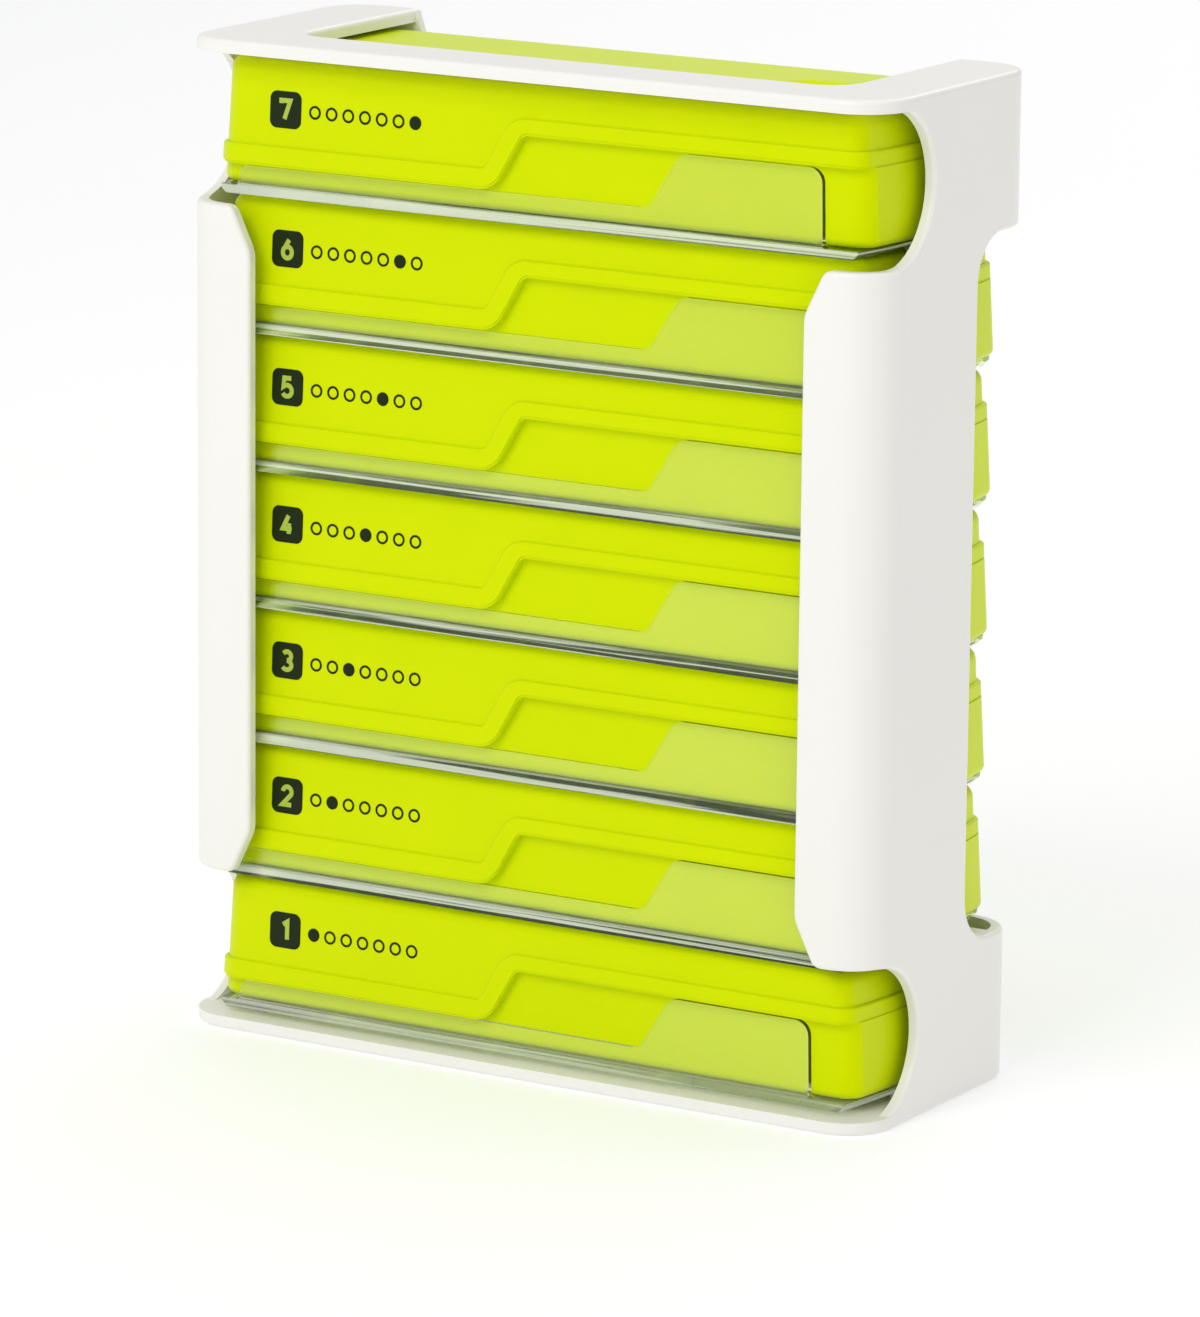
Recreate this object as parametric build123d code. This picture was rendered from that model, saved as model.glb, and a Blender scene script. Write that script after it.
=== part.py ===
from build123d import *
import os
from math import cos, hypot, radians, sin, tan

# Weekly pill organizer: an upright white magazine frame with seven day boxes in a stack.
# Millimetres. +Z up, +X to the viewer's right, +Y away from the viewer.
# The origin is the middle of the frame's underside. Level 1 is the lowest box.

# Stack
day_count = 7
box_width = 112.8
box_depth = 42.2
box_height = 21.1
box_gap = 0.3
end_bow = 2.1
draft_angle = 3.2

# Room for the boxes in the frame
side_gap = 1.1
front_gap = 1.15
rear_gap = 0.25
stack_gap = 0.75
day_setback = 0.55

# Frame walls and plates
wall = 1.8
plate = 2.0
frame_corner_radius = 7.6
frame_edge_radius = 0.8
cut_edge_radius = 0.7
bar_depth = 12.0
arm_width = 13.6
plate_opening_radius = 5.0

# Front lips, at every level but the first and the last
lip_reach = 13.0
lip_slant_width = 3.4
lip_slant_height = 7.0
lip_tip_radius = 1.8
lip_root_radius = 5.0

# Thumb cut-outs at the first and last level
thumb_radius = 11.8
thumb_depth = 16.0
thumb_sink = 0.4

# Open rear of the middle levels, and the rear lips above and below it
notch_depth = 17.6
notch_end = 23.5
notch_radius = 7.5
rear_slant_width = 3.0
rear_slant_height = 8.5
rear_tip_radius = 2.0

# Ledges that carry the boxes
ledge_setback = 1.0
ledge_reach = 0.8
ledge_clearance = 0.15
ledge_tip_height = 0.45
ledge_root_height = 3.2

# Slide cover: clear plate, front wall and two dovetail hooks at its rear
cover_thickness = 1.3
cover_inset = 0.7
cover_bevel = 0.9
cover_wall = 1.15
cover_clearance = 0.15
front_proud = 0.3
strip_left = 52.45
strip_height = 3.05
strip_radius = 1.2
tab_right = 49.65
tab_lean = 0.65
tab_height = 11.5
tab_radius = 2.4
wall_flare = 2.0
wall_flare_sink = 0.1
wall_flare_radius = 1.4
wall_bevel = 0.25
tab_curve_start = 19.9
tab_curve_run = 4.95
tab_curve_radius = 2.5
hook_place = 47.6
hook_neck = 2.0
hook_flare = 0.5
hook_height = 1.5
hook_length = 7.0
hook_back_gap = 3.2
groove_front_gap = 1.0

# Day box: outer walls, raised lower wall with its S-shaped step, and the front recess
box_front_radius = 3.6
box_rear_radius = 4.2
box_top_radius = 2.2
box_foot_radius = 1.2
step_depth = 0.5
step_low = 6.3
step_high = 14.3
step_curve_start = -8.5
step_curve_run = 4.3
step_foot_radius = 1.6
step_crest_radius = 4.3
recess_low = 3.2
recess_high = 11.8
recess_curve_start = -6.9
recess_curve_run = 4.8
recess_foot_radius = 4.2
recess_crest_radius = 1.8
recess_corner_radius = 4.0
recess_runout = 0.1
step_soft_radius = 0.4
groove_height = 0.4
groove_depth = 0.2

# Day box: inside
box_top = 1.6
box_wall = 1.3
rail_width = 4.2
compartment_radius = 2.5
divider_count = 2
divider_thickness = 1.2
divider_clearance = 0.12
slot_depth = 0.5

# Thumb dimple in the top of a day box
dimple_radius = 8.0
dimple_depth = 0.5
dimple_slope = 0.6
dimple_from_right = 21.0
dimple_from_middle = 0.4

# One overrun for every cut, and how near counts as touching
overrun = 2.0
touching = 0.001
middle_share = 0.5

# Sizes that follow
box_pitch = box_height + box_gap
frame_width = box_width + 2 * (end_bow + side_gap + wall)
frame_depth = box_depth + front_proud + front_gap + rear_gap + 2 * wall
frame_height = 2 * (plate + stack_gap) + day_count * box_height + (day_count - 1) * box_gap
frame_right = frame_width / 2
frame_front = -frame_depth / 2
frame_rear = frame_depth / 2
inner_right = frame_right - wall
box_right = box_width / 2
box_front = frame_front + wall + front_gap
box_rear = frame_rear - wall - rear_gap
cover_front = box_front + front_proud
cover_right = box_right - cover_inset
cover_recess = front_proud + cover_wall + cover_clearance
rim = cover_thickness + cover_clearance
box_rise = box_height - rim
draft_run = tan(radians(draft_angle))
wall_lean = draft_run * box_rise
ceiling = box_height - box_top
cavity_front = box_front + cover_recess + draft_run * recess_high + box_wall
cavity_rear = box_rear - step_depth - wall_lean - box_wall
cavity_depth = cavity_rear - cavity_front
cavity_middle = (cavity_front + cavity_rear) / 2
rail_inner = hook_place - rail_width / 2
rail_outer = hook_place + rail_width / 2
hook_end = cavity_rear - hook_back_gap
lip_end = plate - thumb_sink + 2 * thumb_radius
lip_inner = frame_right - lip_reach
arm_inner = frame_right - arm_width


def sharp_outline(right, front, rear, rear_radius):
    """Plan of a slide cover: straight front and rear, ends bowed outwards, sharp front corners."""
    middle = (front + rear) / 2
    front_edge = Line((-right, front), (right, front))
    right_end = ThreePointArc((right, front), (right + end_bow, middle), (right, rear))
    rear_edge = Line((right, rear), (-right, rear))
    left_end = ThreePointArc((-right, rear), (-right - end_bow, middle), (-right, front))
    outline = make_face(front_edge + right_end + rear_edge + left_end)
    return fillet(outline.vertices().group_by(Axis.Y)[-1], rear_radius)


def box_outline(right, front, rear, front_radius, rear_radius):
    """Plan of a day box: the same with rounded front corners."""
    outline = sharp_outline(right, front, rear, rear_radius)
    return fillet(outline.vertices().group_by(Axis.Y)[0], front_radius)


def corner(sketch, place, radius):
    """Rounds the one corner of a sketch that lies at a place of its own plane."""
    spot = Vector(*place)
    vertex = min(sketch.vertices(), key=lambda point: (Vector(*point) - spot).length)
    return fillet(vertex, radius)


def upright(sketch, front, rear):
    """A solid from a sketch of x and z, between two places along y."""
    return extrude(Plane.XZ.offset(-rear) * sketch, rear - front)


def sideways(sketch, half_length):
    """A solid from a sketch of y and z, across the middle."""
    return extrude(Plane.YZ * sketch, half_length, both=True)


def front_wall():
    """Wall of a slide cover along the drafted front of a day box, bevelled round its front."""
    lean = radians(draft_angle)
    face = Plane((0, box_front, rim), x_dir=(1, 0, 0), z_dir=(0, -cos(lean), sin(lean)))
    solid = extrude(face.offset(-front_proud) * cover_wall_outline(), -cover_wall)
    outer = solid.faces().sort_by(Axis(face.origin, face.z_dir))[-1]
    return chamfer(outer.edges(), wall_bevel)


def end_plate():
    """Base plate of the frame, open at the rear between two arms."""
    outline = RectangleRounded(frame_width, frame_depth, frame_corner_radius)
    opening_depth = frame_depth - bar_depth + overrun
    opening = Pos(0, frame_front + bar_depth + opening_depth / 2) * Rectangle(2 * arm_inner, opening_depth)
    opening = fillet(opening.vertices().group_by(Axis.Y)[0], plate_opening_radius)
    solid = extrude(outline - opening, plate)
    return fillet(solid.faces().sort_by(Axis.Z)[0].edges(), frame_edge_radius)


def skin_depth(point):
    """How deep a point lies inside the frame's outer skin, seen from above."""
    across = max(abs(point.X) - frame_right + frame_corner_radius, 0)
    along = max(abs(point.Y) - frame_rear + frame_corner_radius, 0)
    return frame_corner_radius - hypot(across, along)


def cut_edges(walls):
    """Edges that the openings leave on the outer skin, between the end plates."""
    edges = []
    for face in walls.faces():
        spot = face.position_at(middle_share, middle_share)
        if abs(skin_depth(spot)) < touching and abs(face.normal_at(spot).Z) < touching:
            edges += face.edges()
    edges = [edge for edge in edges if edges.count(edge) == 1]
    return [edge for edge in edges if plate < (edge @ middle_share).Z < frame_height - plate]


def ledge(level):
    """Right-hand ledge under the slide cover of one level."""
    seat = plate + stack_gap + level * box_pitch - ledge_clearance
    tip = cover_right + end_bow - cover_bevel - ledge_reach
    tip_foot = seat - ledge_tip_height
    root_foot = seat - ledge_root_height
    if level == 0:
        tip_foot = plate / 2
        root_foot = plate / 2
    root = inner_right + wall / 2
    section = make_face(Polyline((root, seat), (tip, seat), (tip, tip_foot), (root, root_foot), close=True))
    return upright(section, frame_front + thumb_depth + ledge_setback, frame_rear - frame_corner_radius)


def front_window():
    """Opening between the front lips, full width at the first and last level."""
    far = frame_right + overrun
    low = plate - thumb_sink
    right_edge = [
        (far, low),
        (far, lip_end),
        (lip_inner + lip_slant_width, lip_end),
        (lip_inner, lip_end + lip_slant_height),
    ]
    upper = [(x, frame_height - z) for x, z in reversed(right_edge)]
    right_side = right_edge + upper
    left_side = [(-x, z) for x, z in reversed(right_side)]
    outline = make_face(Polyline(*right_side, *left_side, close=True))
    for side in (1, -1):
        for z, sign in ((0, 1), (frame_height, -1)):
            tip = (side * (lip_inner + lip_slant_width), z + sign * lip_end)
            root = (side * lip_inner, z + sign * (lip_end + lip_slant_height))
            outline = corner(outline, tip, lip_tip_radius)
            outline = corner(outline, root, lip_root_radius)
    return upright(outline, frame_front - overrun, frame_front + thumb_depth - thumb_radius)


def rear_window():
    """Opening between the rear lips, full width at the middle levels."""
    far = frame_right + overrun
    reach = arm_inner - rear_slant_width
    lower = [
        (arm_inner, 0),
        (reach, rear_slant_height),
        (reach, notch_end),
        (far, notch_end),
    ]
    right_side = lower + [(x, frame_height - z) for x, z in reversed(lower)]
    left_side = [(-x, z) for x, z in reversed(right_side)]
    outline = make_face(Polyline(*right_side, *left_side, close=True))
    for side in (1, -1):
        for z in (notch_end, frame_height - notch_end):
            outline = corner(outline, (side * reach, z), rear_tip_radius)
    return upright(outline, frame_rear - wall - rear_gap, frame_rear + overrun)


def rear_notch():
    """Rear part of both side walls, taken away at the middle levels."""
    depth = notch_depth + overrun
    height = frame_height - 2 * notch_end
    outline = Pos(frame_rear - notch_depth + depth / 2, frame_height / 2) * Rectangle(depth, height)
    outline = fillet(outline.vertices().group_by(Axis.X)[0], notch_radius)
    return sideways(outline, frame_right + overrun)


def thumb_cut(height):
    """Round end of the thumb cut-outs of one level, through both side walls."""
    outline = Pos(frame_front + thumb_depth - thumb_radius, height) * Circle(thumb_radius)
    return sideways(outline, frame_right + overrun)


def make_frame():
    outer = RectangleRounded(frame_width, frame_depth, frame_corner_radius)
    inner = RectangleRounded(frame_width - 2 * wall, frame_depth - 2 * wall, frame_corner_radius - wall)
    walls = extrude(outer - inner, frame_height - 2 * frame_edge_radius)
    walls = Pos(0, 0, frame_edge_radius) * walls
    for level in range(day_count):
        right_ledge = ledge(level)
        walls = walls + right_ledge + mirror(right_ledge, Plane.YZ)
    thumb_height = plate - thumb_sink + thumb_radius
    walls = walls - front_window() - rear_window() - rear_notch()
    walls = walls - thumb_cut(thumb_height) - thumb_cut(frame_height - thumb_height)
    walls = fillet(cut_edges(walls), cut_edge_radius)
    base = end_plate()
    top = Pos(0, 0, frame_height) * Rot(X=180) * mirror(base, Plane.XZ)
    return walls + base + top


def cover_wall_outline():
    """Low strip on the left that rises in an S to the tall tab on the right, flared at the plate."""
    floor = -cover_clearance - wall_flare_sink
    foot = -cover_clearance - cover_thickness / 2
    crest = tab_curve_start + tab_curve_run
    outline = make_face(Polyline(
        (-strip_left - wall_flare, foot),
        (-strip_left - wall_flare, floor),
        (-strip_left, floor),
        (-strip_left, strip_height),
        (tab_curve_start, strip_height),
        (crest, tab_height),
        (tab_right - tab_lean, tab_height),
        (tab_right, floor),
        (tab_right + wall_flare, floor),
        (tab_right + wall_flare, foot),
        close=True,
    ))
    outline = corner(outline, (-strip_left, floor), wall_flare_radius)
    outline = corner(outline, (-strip_left, strip_height), strip_radius)
    outline = corner(outline, (tab_curve_start, strip_height), tab_curve_radius)
    outline = corner(outline, (crest, tab_height), tab_curve_radius)
    outline = corner(outline, (tab_right - tab_lean, tab_height), tab_radius)
    return corner(outline, (tab_right, floor), wall_flare_radius)


def hook_section(clearance):
    """Dovetail that stands on the slide cover, grown by a clearance for its groove."""
    neck = hook_neck / 2 + clearance
    head = neck + hook_flare
    foot = cover_thickness - cover_clearance
    crown = cover_thickness + hook_height + clearance
    return make_face(Polyline((-neck, foot), (neck, foot), (head, crown), (-head, crown), close=True))


def make_cover():
    outline = sharp_outline(cover_right, cover_front, box_rear, box_rear_radius)
    sheet = extrude(outline, cover_thickness)
    under = sheet.faces().sort_by(Axis.Z)[0].edges()
    sheet = chamfer(under - under.sort_by(Axis.Y)[:1], cover_bevel)
    behind = Pos(0, cover_front + box_depth / 2, box_height / 2) * Box(frame_width, box_depth, box_height)
    cover = sheet + (front_wall() & behind)
    for place in (hook_place, -hook_place):
        cover += Pos(place, 0, 0) * upright(hook_section(0), hook_end - hook_length, hook_end)
    return cover


def below_curve(start, run, low, high, foot_radius, crest_radius):
    """Region under an S: low on the left, high on the right."""
    far = frame_right + overrun
    outline = make_face(Polyline(
        (-far, 0),
        (-far, rim + low),
        (start, rim + low),
        (start + run, rim + high),
        (far, rim + high),
        (far, 0),
        close=True,
    ))
    outline = corner(outline, (start, rim + low), foot_radius)
    outline = corner(outline, (start + run, rim + high), crest_radius)
    return upright(outline, frame_front - overrun, frame_rear + overrun)


def drafted_block(inset):
    """Outside of a day box up to its top, drawn in by an inset on every side."""
    plan = box_outline(
        box_right - inset, box_front + inset, box_rear - inset, box_front_radius, box_rear_radius)
    return Pos(0, 0, rim) * extrude(plan, box_rise, taper=draft_angle)


def raised_wall():
    """Lower wall of a day box: tucked in at its foot, with a soft S-shaped upper edge."""
    lower = drafted_block(0)
    lower = fillet(lower.faces().sort_by(Axis.Z)[0].edges(), box_foot_radius)
    lower = lower & below_curve(
        step_curve_start, step_curve_run, step_low, step_high, step_foot_radius, step_crest_radius)
    edges = []
    for face in lower.faces():
        normal = face.normal_at(face.center())
        if normal.Z > draft_run and abs(normal.Y) < draft_run / 2:
            edges += [edge for edge in face.edges() if edge not in face.edges().filter_by(Axis.Y)]
    return fillet(edges, step_soft_radius)


def recess_block():
    """Front of a day box behind its slide cover, with rounded corners that run out on the ends."""
    plan = sharp_outline(box_right + recess_runout, box_front, box_rear + recess_runout, box_rear_radius)
    plan = plan - Pos(0, box_front + cover_recess - box_depth / 2) * Rectangle(frame_width, box_depth)
    plan = fillet(plan.vertices().group_by(Axis.Y)[0], recess_corner_radius)
    block = Pos(0, 0, rim) * extrude(plan, box_rise, taper=draft_angle)
    return fillet(block.faces().sort_by(Axis.Z)[0].edges(), box_foot_radius)


def below_recess(rise):
    """Region under the upper edge of the front recess, raised by a given height."""
    return below_curve(
        recess_curve_start, recess_curve_run, recess_low + rise, recess_high + rise,
        recess_foot_radius, recess_crest_radius)


def box_body():
    """Closed outside of a day box: upper wall, raised lower wall, front recess and the groove above it."""
    upper = drafted_block(step_depth)
    upper = fillet(upper.faces().sort_by(Axis.Z)[-1].edges(), box_top_radius)
    foot = Box(frame_width, frame_depth, 2 * box_foot_radius)
    upper = upper - Pos(0, 0, rim + box_foot_radius) * foot
    outside = upper + raised_wall()
    recessed = outside & below_recess(0) & recess_block()
    groove = below_recess(groove_height) - below_recess(0) - drafted_block(groove_depth)
    return outside - below_recess(0) + recessed - groove


def end_pockets():
    """Hollow ends of a day box, between the guide rails and the bowed outer walls."""
    inset = step_depth + wall_lean + box_wall
    plan = box_outline(
        box_right - inset, cavity_front, box_rear - inset, compartment_radius, compartment_radius)
    pockets = plan - Rectangle(2 * rail_outer, frame_depth)
    return extrude(pockets, ceiling)


def divider_places():
    spacing = 2 * rail_inner / (divider_count + 1)
    return [spacing * (number + 1) - rail_inner for number in range(divider_count)]


def make_day_box():
    body = box_body()
    compartments = RectangleRounded(2 * rail_inner, cavity_depth, compartment_radius)
    body = body - Pos(0, cavity_middle, 0) * extrude(compartments, ceiling) - end_pockets()
    for place in divider_places():
        slot = Box(divider_thickness + 2 * divider_clearance, cavity_depth + 2 * slot_depth, ceiling)
        body = body - Pos(place, cavity_middle, ceiling / 2) * slot
    for place in (hook_place, -hook_place):
        groove = upright(
            hook_section(cover_clearance), cavity_front + groove_front_gap, hook_end + cover_clearance)
        body = body - Pos(place, 0, 0) * groove
    low_end = (Align.CENTER, Align.CENTER, Align.MIN)
    dimple = Cone(dimple_radius - dimple_slope, dimple_radius, dimple_depth, align=low_end)
    return body - Pos(box_right - dimple_from_right, dimple_from_middle, box_height - dimple_depth) * dimple


def make_dividers():
    foot = rim + divider_clearance
    height = ceiling - divider_clearance - foot
    depth = cavity_depth + 2 * (slot_depth - divider_clearance)
    blade = Box(divider_thickness, depth, height)
    middle = foot + height / 2
    return Part() + [Pos(place, cavity_middle, middle) * blade for place in divider_places()]


def place_of(level):
    setback = 0 if level in (0, day_count - 1) else day_setback
    return Pos(0, setback, plate + stack_gap + level * box_pitch)


os.makedirs("parts", exist_ok=True)
export_step(make_frame(), "parts/frame.step")
day_box = make_day_box()
cover = make_cover()
dividers = make_dividers()
for level in range(day_count):
    day = level + 1
    export_step(place_of(level) * day_box, f"parts/day_box_{day}.step")
    export_step(place_of(level) * cover, f"parts/slide_cover_{day}.step")
    export_step(place_of(level) * dividers, f"parts/dividers_{day}.step")
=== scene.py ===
import math
import bmesh
import bpy
from mathutils import Matrix, Vector


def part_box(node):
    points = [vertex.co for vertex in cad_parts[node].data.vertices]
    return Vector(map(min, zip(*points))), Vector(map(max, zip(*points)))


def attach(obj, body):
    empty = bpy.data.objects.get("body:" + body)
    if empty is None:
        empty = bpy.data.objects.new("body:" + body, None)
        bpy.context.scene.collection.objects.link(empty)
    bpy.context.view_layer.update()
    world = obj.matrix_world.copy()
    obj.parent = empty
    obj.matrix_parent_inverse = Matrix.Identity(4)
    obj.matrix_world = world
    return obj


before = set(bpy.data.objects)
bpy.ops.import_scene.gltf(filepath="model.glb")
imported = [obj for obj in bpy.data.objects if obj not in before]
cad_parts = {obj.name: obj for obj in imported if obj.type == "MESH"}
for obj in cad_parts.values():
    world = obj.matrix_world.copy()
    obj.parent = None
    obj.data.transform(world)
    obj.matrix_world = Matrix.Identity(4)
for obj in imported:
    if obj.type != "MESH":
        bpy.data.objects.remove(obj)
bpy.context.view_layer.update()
print("frame loaded:", len(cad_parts), "nodes")

mm = 0.001
dayCount = 7


# shader building

noiseMiddle = 0.5    # noise swings about this value


class Wire:
    # a shader socket that can take part in a sum
    def __init__(self, finish, socket):
        self.finish = finish
        self.socket = socket

    def join(self, operation, *values):
        return self.finish.node("ShaderNodeMath", {"operation": operation}, dict(enumerate(values)))

    def __add__(self, other):
        return self.join("ADD", self, other)

    def __radd__(self, other):
        return self.join("ADD", other, self)

    def __sub__(self, other):
        return self.join("SUBTRACT", self, other)

    def __rsub__(self, other):
        return self.join("SUBTRACT", other, self)

    def __mul__(self, other):
        return self.join("MULTIPLY", self, other)

    def __rmul__(self, other):
        return self.join("MULTIPLY", other, self)

    def __gt__(self, other):
        return self.join("GREATER_THAN", self, other)

    def __lt__(self, other):
        return self.join("LESS_THAN", self, other)

    def __abs__(self):
        return self.join("ABSOLUTE", self)

    def most(self, other):
        return self.join("MAXIMUM", self, other)


class Finish:
    def __init__(self, name):
        self.material = bpy.data.materials.new(name)
        self.material.use_nodes = True
        self.tree = self.material.node_tree
        self.tree.nodes.clear()

    def node(self, kind, settings=None, sockets=None, out=0):
        made = self.tree.nodes.new(kind)
        for key, value in (settings or {}).items():
            setattr(made, key, value)
        for key, value in (sockets or {}).items():
            if isinstance(value, Wire):
                self.tree.links.new(value.socket, made.inputs[key])
            else:
                made.inputs[key].default_value = value
        return Wire(self, made.outputs[out]) if made.outputs else None

    def noise(self, scale, detail, stretch=None):
        place = self.node("ShaderNodeTexCoord", out="Object")
        if stretch:
            place = self.node("ShaderNodeMapping", {}, {"Vector": place, "Scale": stretch})
        return self.node("ShaderNodeTexNoise", {}, {"Vector": place, "Scale": scale, "Detail": detail})

    def blend(self, amount, first, second):
        # a Mix node's colour sockets share their names with others, so they go by number
        sockets = {0: amount, 6: first, 7: second}
        return self.node("ShaderNodeMix", {"data_type": "RGBA"}, sockets, out=2)

    def fade(self, value, start, end, first=1.0, last=0.0):
        return self.node("ShaderNodeMapRange", {"clamp": True}, {
            "Value": value, "From Min": start, "From Max": end, "To Min": first, "To Max": last})

    def heightOf(self, vector):
        return self.node("ShaderNodeSeparateXYZ", {}, {"Vector": vector}, out="Z")

    def bump(self, height, strength, distance):
        sockets = {"Height": height, "Strength": strength, "Distance": distance}
        return self.node("ShaderNodeBump", {}, sockets)

    def plastic(self, sockets):
        return self.node("ShaderNodeBsdfPrincipled", {}, sockets)

    def mixed(self, amount, first, second):
        return self.node("ShaderNodeMixShader", {}, {0: amount, 1: first, 2: second})

    def show(self, shader):
        self.node("ShaderNodeOutputMaterial", {}, {"Surface": shader})
        return self.material


def rgba(red, green, blue):
    return (red, green, blue, 1.0)


whitePlastic = {
    "pale": rgba(0.90, 0.885, 0.845),
    "shade": rgba(0.86, 0.85, 0.815),
    "roughness": 0.3,
    "roughnessSpread": 0.1,
    "cloudScale": 45.0,
    "cloudDetail": 3.0,
    "cloudShare": 0.6,
    "flowDetail": 2.0,
    "flowStretch": (1.0, 1.0, 0.2),
    "flowShare": 0.4,
    "grainScale": 2600.0,
    "grainDetail": 2.0,
    "grainStrength": 0.05,
    "grainDepth": 0.05 * mm,
    "ior": 1.5,
}


def makeWhitePlastic(look):
    finish = Finish("frameWhitePlastic")
    cloud = finish.noise(look["cloudScale"], look["cloudDetail"])
    flow = finish.noise(look["cloudScale"], look["flowDetail"], look["flowStretch"])
    grain = finish.noise(look["grainScale"], look["grainDetail"])
    tone = cloud * look["cloudShare"] + flow * look["flowShare"]
    return finish.show(finish.plastic({
        "Base Color": finish.blend(tone, look["pale"], look["shade"]),
        "Roughness": look["roughness"] + look["roughnessSpread"] * (flow - noiseMiddle),
        "Normal": finish.bump(grain, look["grainStrength"], look["grainDepth"]),
        "IOR": look["ior"],
    }))


greenPlastic = {
    "bright": rgba(0.665, 0.795, 0.0005),
    "deep": rgba(0.61, 0.76, 0.0005),
    "roughness": 0.36,
    "roughnessSpread": 0.12,
    "cloudScale": 60.0,
    "cloudDetail": 3.0,
    "speckScale": 960.0,
    "speckDetail": 1.0,
    "grainScale": 3200.0,
    "grainDetail": 2.0,
    "grainStrength": 0.03,
    "grainDepth": 0.05 * mm,
    "ior": 1.5,
    "mirrorTint": rgba(1.0, 0.75, 0.0),
    "inner": 0.12,    # share of the light that goes under the surface
    "innerRadius": (0.6, 0.8, 0.1),
    "innerDepth": 1.2 * mm,
}

dividerPlastic = dict(greenPlastic, roughness=0.45, cloudScale=90.0)

numberPrint = dict(
    greenPlastic,
    bright=rgba(0.42, 0.57, 0.085),
    deep=rgba(0.38, 0.52, 0.07),
    cloudScale=300.0,
)


def makeGreenPlastic(name, look):
    finish = Finish(name)
    cloud = finish.noise(look["cloudScale"], look["cloudDetail"])
    grain = finish.noise(look["grainScale"], look["grainDetail"])
    speck = finish.noise(look["speckScale"], look["speckDetail"])
    return finish.show(finish.plastic({
        "Base Color": finish.blend(cloud, look["bright"], look["deep"]),
        "Roughness": look["roughness"] + look["roughnessSpread"] * (speck - noiseMiddle),
        "Normal": finish.bump(grain, look["grainStrength"], look["grainDepth"]),
        "IOR": look["ior"],
        "Specular Tint": look["mirrorTint"],
        "Subsurface Weight": look["inner"],
        "Subsurface Radius": look["innerRadius"],
        "Subsurface Scale": look["innerDepth"],
    }))


clearPlastic = {
    "tint": rgba(0.975, 0.98, 0.95),
    "tintDeep": rgba(0.955, 0.965, 0.925),
    "roughness": 0.015,
    "roughnessSpread": 0.03,
    "cloudScale": 70.0,
    "cloudDetail": 2.0,
    "waveScale": 140.0,
    "waveDetail": 1.0,
    "waveStrength": 0.012,
    "waveDepth": 0.2 * mm,
    "ior": 1.49,
    "plateHeight": 0.10,    # share of a cover's height that is its flat plate
    "plateSoft": 0.04,
    # colour of the light let through the plate; its green stands in for greener shade on the box below and
    # on the plate's edges
    "plateLightTint": rgba(0.85, 0.95, 0.45),
    "plateHeld": 0.5,       # share of the light that the plate holds back from the box below
    "plateRoughness": 0.05,
    "mirrorTurns": 2.5,     # inner mirrorings after which a ray in the plate goes straight on
    # rim streak colours: painted light (pale) and painted shade (dark) in the clear edge
    "rimPaintedLight": rgba(0.96, 0.97, 0.92),
    "rimPaintedShade": rgba(0.50, 0.62, 0.28),
    "rimRoughness": 0.25,
    "streakScale": 1100.0,
    "streakDetail": 2.0,
    "streakStretch": (0.010, 0.010, 1.4),
    "streakFrom": 0.48,
    "streakTo": 0.56,
    "streakLow": 0.0,       # share of the milky rim, with its painted light and shade streaks, between and on its streaks
    "streakHigh": 0.7,
}

# the lowest cover lies on the white base, with no box below it; its rim streaks are painted paler, standing
# in for light from the white base
lowCoverPlastic = dict(
    clearPlastic,
    plateLightTint=rgba(0.97, 0.98, 0.93),
    plateHeld=0.0,
    rimPaintedLight=rgba(0.90, 0.91, 0.86),
    rimPaintedShade=rgba(0.62, 0.70, 0.45),
    streakLow=0.25,
    streakHigh=0.6,
)


def makeClearPlastic(name, look):
    finish = Finish(name)
    cloud = finish.noise(look["cloudScale"], look["cloudDetail"])
    wave = finish.noise(look["waveScale"], look["waveDetail"])
    streak = finish.noise(look["streakScale"], look["streakDetail"], look["streakStretch"])
    height = finish.heightOf(finish.node("ShaderNodeTexCoord", out="Generated"))
    plate = finish.fade(height, look["plateHeight"], look["plateHeight"] + look["plateSoft"])

    # clear inside: it bends what is seen, and lets light that falls on the boxes go straight through
    glass = finish.plastic({
        "Base Color": finish.blend(cloud, look["tint"], look["tintDeep"]),
        "Roughness": look["roughness"] + look["roughnessSpread"] * cloud + look["plateRoughness"] * plate,
        "Normal": finish.bump(wave, look["waveStrength"], look["waveDepth"]),
        "IOR": look["ior"],
        "Transmission Weight": 1.0,
    })
    through = finish.node("ShaderNodeBsdfTransparent", {}, {"Color": look["tint"]})
    throughPlate = finish.node("ShaderNodeBsdfTransparent", {}, {"Color": look["plateLightTint"]})
    shadow = finish.node("ShaderNodeLightPath", out="Is Shadow Ray")
    diffuse = finish.node("ShaderNodeLightPath", out="Is Diffuse Ray")
    mirrored = finish.node("ShaderNodeLightPath", out="Glossy Depth")
    lit = (shadow + diffuse) * (1.0 - look["plateHeld"] * plate)
    caught = (mirrored > look["mirrorTurns"]) * plate
    inside = finish.mixed(lit.most(caught), glass, finish.mixed(plate, through, throughPlate))

    # milky rim with painted light and shade: pale and dark streaks on the upright faces of the plate stand
    # in for light caught and lost in its clear edges
    rim = finish.plastic({
        "Base Color": finish.blend(streak, look["rimPaintedShade"], look["rimPaintedLight"]),
        "Roughness": look["rimRoughness"] + look["roughnessSpread"] * cloud,
    })
    upright = 1.0 - abs(finish.heightOf(finish.node("ShaderNodeNewGeometry", out="Normal")))
    # where the painted light and shade streaks lie on the rim
    paintedStreaks = finish.fade(streak, look["streakFrom"], look["streakTo"], look["streakLow"], look["streakHigh"])
    return finish.show(finish.mixed(paintedStreaks * upright * plate, inside, rim))


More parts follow.
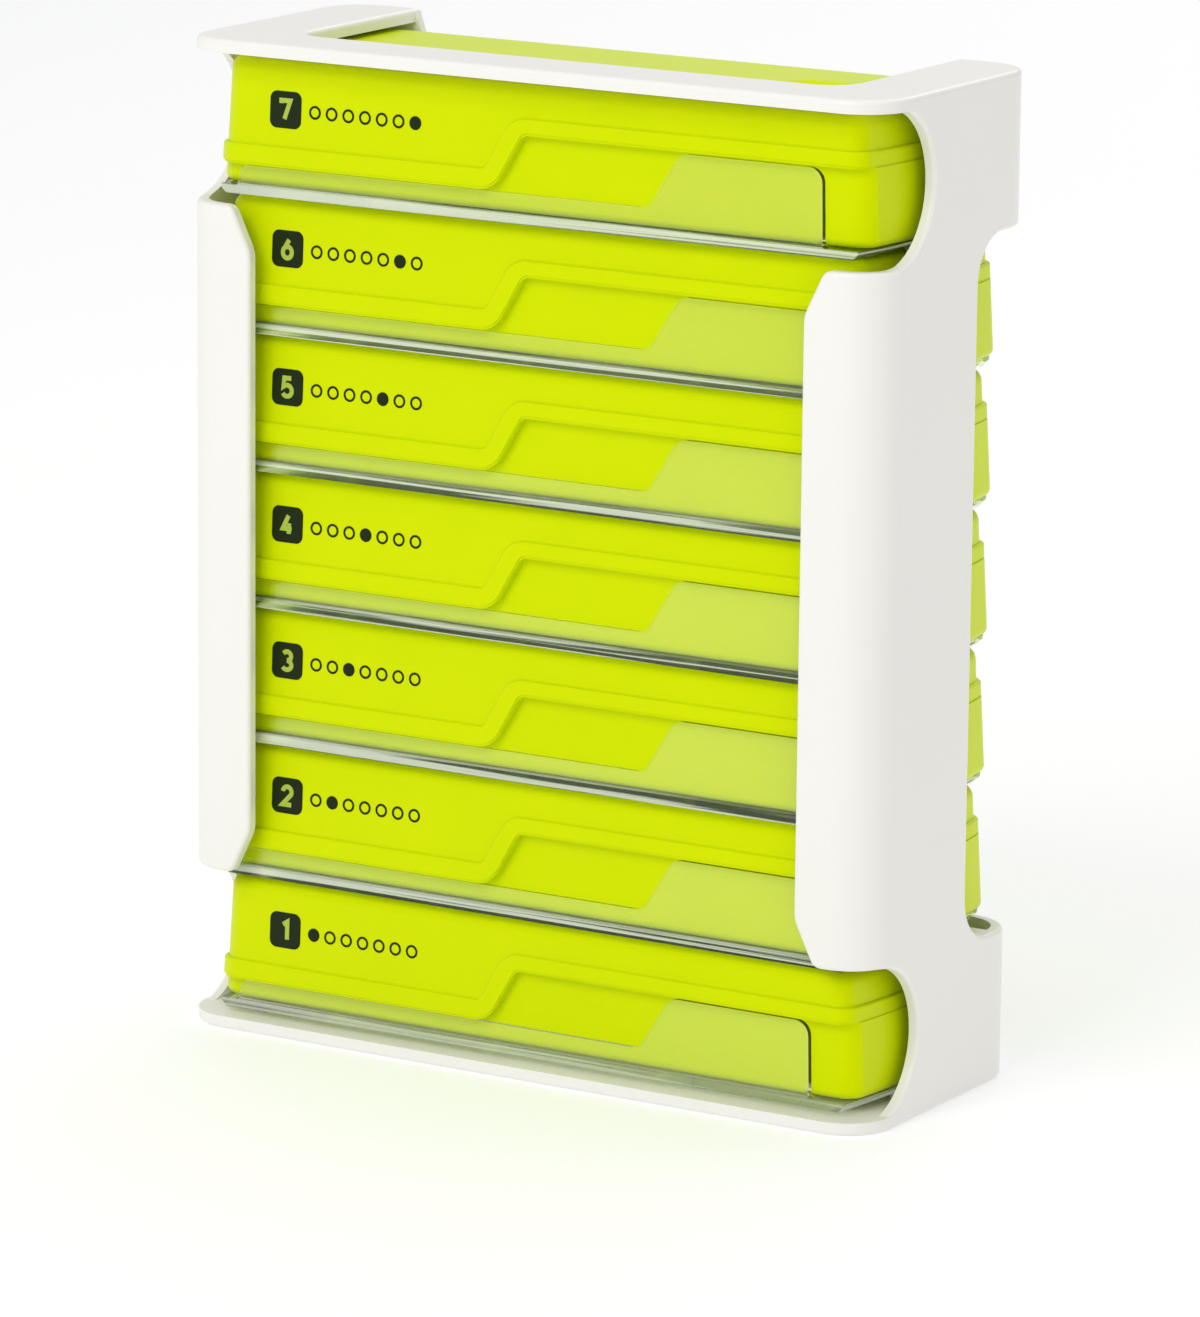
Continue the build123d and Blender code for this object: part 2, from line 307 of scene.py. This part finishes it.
darkInk = {
    "ink": rgba(0.007, 0.016, 0.001),
    "worn": rgba(0.013, 0.024, 0.004),
    "roughness": 0.45,
    "roughnessSpread": 0.15,
    "gloss": 0.15,
    "speckScale": 900.0,
    "speckDetail": 2.0,
}


def makeDarkInk(look):
    finish = Finish("printDarkInk")
    speck = finish.noise(look["speckScale"], look["speckDetail"])
    return finish.show(finish.plastic({
        "Base Color": finish.blend(speck, look["ink"], look["worn"]),
        "Roughness": look["roughness"] + look["roughnessSpread"] * (speck - noiseMiddle),
        "Specular IOR Level": look["gloss"],
    }))


nodeFinishes = {
    "frame": makeWhitePlastic(whitePlastic),
    "day_box": makeGreenPlastic("boxGreenPlastic", greenPlastic),
    "slide_cover": makeClearPlastic("coverClearPlastic", clearPlastic),
    "slide_cover_1": makeClearPlastic("lowCoverClearPlastic", lowCoverPlastic),
    "dividers": makeGreenPlastic("dividerGreenPlastic", dividerPlastic),
}
numberGreen = makeGreenPlastic("numberGreenPrint", numberPrint)
inkDark = makeDarkInk(darkInk)

for name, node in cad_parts.items():
    family = name.rstrip("0123456789").rstrip("_")
    node.data.materials.clear()
    node.data.materials.append(nodeFinishes.get(name, nodeFinishes.get(family)))
print("finishes on", len(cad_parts), "nodes")


# print on the box fronts

boxFront = {
    "wallY": -20.3 * mm,    # upper front wall at the rim of the first box
    "draft": 3.2,           # lean of that wall in degrees
    "sunk": 0.01 * mm,      # depth of the print's rear face in the wall
}


def frontPlane(day):
    # x along the box, y up its drafted front wall, z out of it; the origin is at the rim
    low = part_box(f"day_box_{day}")[0]
    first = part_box("day_box_1")[0]
    lean = math.radians(boxFront["draft"])
    up = Vector((0, math.sin(lean), math.cos(lean)))
    out = Vector((0, -math.cos(lean), math.sin(lean)))
    spot = Vector((0, boxFront["wallY"] + low.y - first.y, low.z))
    turn = Matrix((Vector((1, 0, 0)), up, out)).transposed().to_4x4()
    return Matrix.Translation(spot) @ turn


def flatPiece(name, loops, look, plane, finish, body):
    # closed thin print from outlines that may carry a hole; loops that cross rise one above the other
    shape = bmesh.new()
    for number, (outer, hole) in enumerate(loops):
        rise = number * look.get("rise", 0.0)
        top, low = look["thick"] + rise, -boxFront["sunk"] - rise
        front = [shape.verts.new((x, y, top)) for x, y in outer]
        rear = [shape.verts.new((x, y, low)) for x, y in outer]
        count = len(front)
        for i in range(count):
            j = (i + 1) % count
            shape.faces.new((rear[i], rear[j], front[j], front[i]))
        if hole is None:
            shape.faces.new(front)
            shape.faces.new(list(reversed(rear)))
            continue
        inFront = [shape.verts.new((x, y, top)) for x, y in hole]
        inRear = [shape.verts.new((x, y, low)) for x, y in hole]
        for i in range(count):
            j = (i + 1) % count
            shape.faces.new((front[i], front[j], inFront[j], inFront[i]))
            shape.faces.new((inRear[i], inRear[j], rear[j], rear[i]))
            shape.faces.new((inFront[i], inFront[j], inRear[j], inRear[i]))
    shape.transform(plane)
    bmesh.ops.recalc_face_normals(shape, faces=shape.faces)
    mesh = bpy.data.meshes.new(name)
    shape.to_mesh(mesh)
    shape.free()
    piece = bpy.data.objects.new(name, mesh)
    bpy.context.scene.collection.objects.link(piece)
    mesh.materials.append(finish)
    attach(piece, body)


def arc(centreX, centreY, reachX, reachY, start, end, steps=14):
    points = []
    for step in range(steps + 1):
        angle = math.radians(start + (end - start) * step / steps)
        points.append((centreX + reachX * math.cos(angle), centreY + reachY * math.sin(angle)))
    return points


def ring(centreX, centreY, radius, steps):
    return arc(centreX, centreY, radius, radius, 0, 360, steps)[:-1]


badge = {
    "left": -47.2 * mm,
    "bottom": 9.2 * mm,
    "side": 5.63 * mm,
    "radius": 1.2 * mm,
    "cornerSteps": 8,
    "thick": 0.05 * mm,
}


def makeBadge(day, plane):
    radius = badge["radius"]
    left, right = badge["left"] + radius, badge["left"] + badge["side"] - radius
    bottom, top = badge["bottom"] + radius, badge["bottom"] + badge["side"] - radius
    outline = []
    for x, y, start in ((right, bottom, -90), (right, top, 0), (left, top, 90), (left, bottom, 180)):
        outline += arc(x, y, radius, radius, start, start + 90, badge["cornerSteps"])
    flatPiece(f"badge_{day}", [(outline, None)], badge, plane, inkDark, f"box_{day}")


digit = {
    "width": 2.35 * mm,
    "height": 3.55 * mm,
    "line": 0.74 * mm,
    "thick": 0.09 * mm,
    "rise": 0.015 * mm,
    # middle lines of the strokes, as shares of the width and height between them
    "strokes": {
        1: [[(0.12, 0.82), (0.6, 1.0), (0.6, 0.0)]],
        2: [arc(0.5, 0.71, 0.5, 0.29, 175, -30) + [(0.0, 0.0), (1.0, 0.0)]],
        3: [arc(0.45, 0.755, 0.47, 0.245, 150, -90), arc(0.45, 0.255, 0.53, 0.255, 90, -150)],
        4: [[(0.62, 1.0), (0.0, 0.27), (1.0, 0.27)], [(0.7, 0.58), (0.7, 0.0)]],
        5: [[(0.9, 1.0), (0.12, 1.0), (0.06, 0.53)] + arc(0.46, 0.31, 0.54, 0.31, 125, -150)],
        6: [[(0.66, 1.0), (0.14, 0.5)], arc(0.5, 0.31, 0.5, 0.31, 0, 360, steps=32)],
        7: [[(0.0, 0.84), (0.0, 1.0), (1.0, 1.0), (0.4, 0.0)]],
    },
}


def strokeOutline(points, line):
    # the two sides of a stroke, mitred where it turns
    sides = ([], [])
    for number, point in enumerate(points):
        ways = []
        for first, second in ((number - 1, number), (number, number + 1)):
            if 0 <= first and second < len(points):
                ways.append((Vector(points[second]) - Vector(points[first])).normalized())
        across = [Vector((-way.y, way.x)) for way in ways]
        middle = sum(across, Vector((0, 0))).normalized()
        reach = line / 2 / middle.dot(across[0])
        for side, sign in zip(sides, (1, -1)):
            side.append(tuple(Vector(point) + sign * reach * middle))
    return sides


def makeNumber(day, plane):
    line = digit["line"]
    spanX, spanY = digit["width"] - line, digit["height"] - line
    strokes = digit["strokes"][day]
    shares = [x for stroke in strokes for x, y in stroke]
    leftX = badge["left"] + badge["side"] / 2 - spanX * (min(shares) + max(shares)) / 2
    lowY = badge["bottom"] + badge["side"] / 2 - spanY / 2
    loops = []
    for stroke in strokes:
        points = [(leftX + spanX * x, lowY + spanY * y) for x, y in stroke]
        closed = (Vector(points[0]) - Vector(points[-1])).length < digit["thick"]
        if closed:
            left, right = strokeOutline(points[-2:-1] + points + points[1:2], line)
            loops.append((right[1:-2], left[1:-2]))
        else:
            left, right = strokeOutline(points, line)
            loops.append((left + right[::-1], None))
    flatPiece(f"number_{day}", loops, digit, plane, numberGreen, f"box_{day}")


weekScale = {
    "left": -39.1 * mm,
    "pitch": 3.0 * mm,
    "height": 12.0 * mm,
    "radius": 1.05 * mm,
    "line": 0.34 * mm,
    "steps": 36,
    "thick": 0.05 * mm,
}


def makeWeekScale(day, plane):
    height, radius, steps = weekScale["height"], weekScale["radius"], weekScale["steps"]
    pips = []
    for place in range(dayCount):
        spotX = weekScale["left"] + place * weekScale["pitch"]
        rim = ring(spotX, height, radius, steps)
        hole = ring(spotX, height, radius - weekScale["line"], steps)
        pips.append((rim, None if place == day - 1 else hole))
    flatPiece(f"week_scale_{day}", pips, weekScale, plane, inkDark, f"box_{day}")


for day in range(1, dayCount + 1):
    plane = frontPlane(day)
    makeBadge(day, plane)
    makeNumber(day, plane)
    makeWeekScale(day, plane)
print("print on", dayCount, "boxes")


# floor, light and camera

floorLook = {
    "pale": rgba(0.77, 0.765, 0.68),
    "shade": rgba(0.75, 0.745, 0.66),
    "glow": rgba(0.78, 0.80, 0.97),
    "glowStrength": 0.385,
    "roughness": 0.75,
    "roughnessSpread": 0.1,
    "cloudScale": 3.0,
    "cloudDetail": 2.0,
    "half": 8.0,
}


def makeFloor(look):
    finish = Finish("paleFloor")
    cloud = finish.noise(look["cloudScale"], look["cloudDetail"])
    sheet = finish.show(finish.plastic({
        "Base Color": finish.blend(cloud, look["pale"], look["shade"]),
        "Roughness": look["roughness"] + look["roughnessSpread"] * (cloud - noiseMiddle),
        "Emission Color": look["glow"],
        "Emission Strength": look["glowStrength"],
    }))
    half = look["half"]
    corners = [(-half, -half, 0), (half, -half, 0), (half, half, 0), (-half, half, 0)]
    mesh = bpy.data.meshes.new("floor")
    mesh.from_pydata(corners, [], [(0, 1, 2, 3)])
    mesh.materials.append(sheet)
    floor = bpy.data.objects.new("floor", mesh)
    bpy.context.scene.collection.objects.link(floor)


lamps = {
    "key": {"spot": (-0.1, -0.9, 0.85), "aim": (0, 0, 0.09), "size": 0.6, "watts": 4.35},
    "top": {"spot": (0.0, 0.1, 1.1), "aim": (0, 0, 0.1), "size": 1.0, "watts": 1.9},
    "rear": {"spot": (-0.2, 1.5, 1.0), "aim": (0, 1.25, 0), "size": 0.9, "watts": 3.2},
}

studio = {
    "colour": rgba(1.0, 1.0, 1.0),
    "strength": 0.64,
    "tones": "Standard",
}


def makeLight():
    for name, look in lamps.items():
        data = bpy.data.lights.new(name, "AREA")
        data.energy = look["watts"]
        data.size = look["size"]
        lamp = bpy.data.objects.new(name, data)
        way = Vector(look["aim"]) - Vector(look["spot"])
        lamp.location = look["spot"]
        lamp.rotation_euler = way.to_track_quat("-Z", "Y").to_euler()
        bpy.context.scene.collection.objects.link(lamp)
    world = bpy.data.worlds.new("studio")
    world.use_nodes = True
    back = world.node_tree.nodes["Background"]
    back.inputs["Color"].default_value = studio["colour"]
    back.inputs["Strength"].default_value = studio["strength"]
    bpy.context.scene.world = world
    bpy.context.scene.view_settings.view_transform = studio["tones"]


cameraLook = {
    # angles in degrees, places in metres
    "yaw": 31.13,
    "pitch": 12.68,
    "roll": 0.58,
    "distance": 1.14434,
    "aimHeight": 0.0775,
    "across": 0.00026,
    "along": -0.01579,
    "focalPixels": 7500.0,
    "imageHeight": 1317.0,
    "sensor": 36.0,
    "clipStart": 0.05,
    "clipEnd": 40.0,
}


def makeCamera(look):
    yaw, pitch, roll = (math.radians(look[name]) for name in ("yaw", "pitch", "roll"))
    back = Vector((math.sin(yaw) * math.cos(pitch), -math.cos(yaw) * math.cos(pitch), math.sin(pitch)))
    right = Vector((math.cos(yaw), math.sin(yaw), 0))
    up = back.cross(right)
    aim = Vector((0, 0, look["aimHeight"])) + right * look["across"] + up * look["along"]
    right, up = right * math.cos(roll) + up * math.sin(roll), up * math.cos(roll) - right * math.sin(roll)
    data = bpy.data.cameras.new("camera")
    data.sensor_width = look["sensor"]
    data.lens = look["focalPixels"] * look["sensor"] / look["imageHeight"]
    data.clip_start = look["clipStart"]
    data.clip_end = look["clipEnd"]
    camera = bpy.data.objects.new("camera", data)
    turn = Matrix((right, up, back)).transposed().to_4x4()
    camera.matrix_world = Matrix.Translation(aim + back * look["distance"]) @ turn
    bpy.context.scene.collection.objects.link(camera)
    bpy.context.scene.camera = camera


makeFloor(floorLook)
makeLight()
makeCamera(cameraLook)
print("floor, light and camera set")
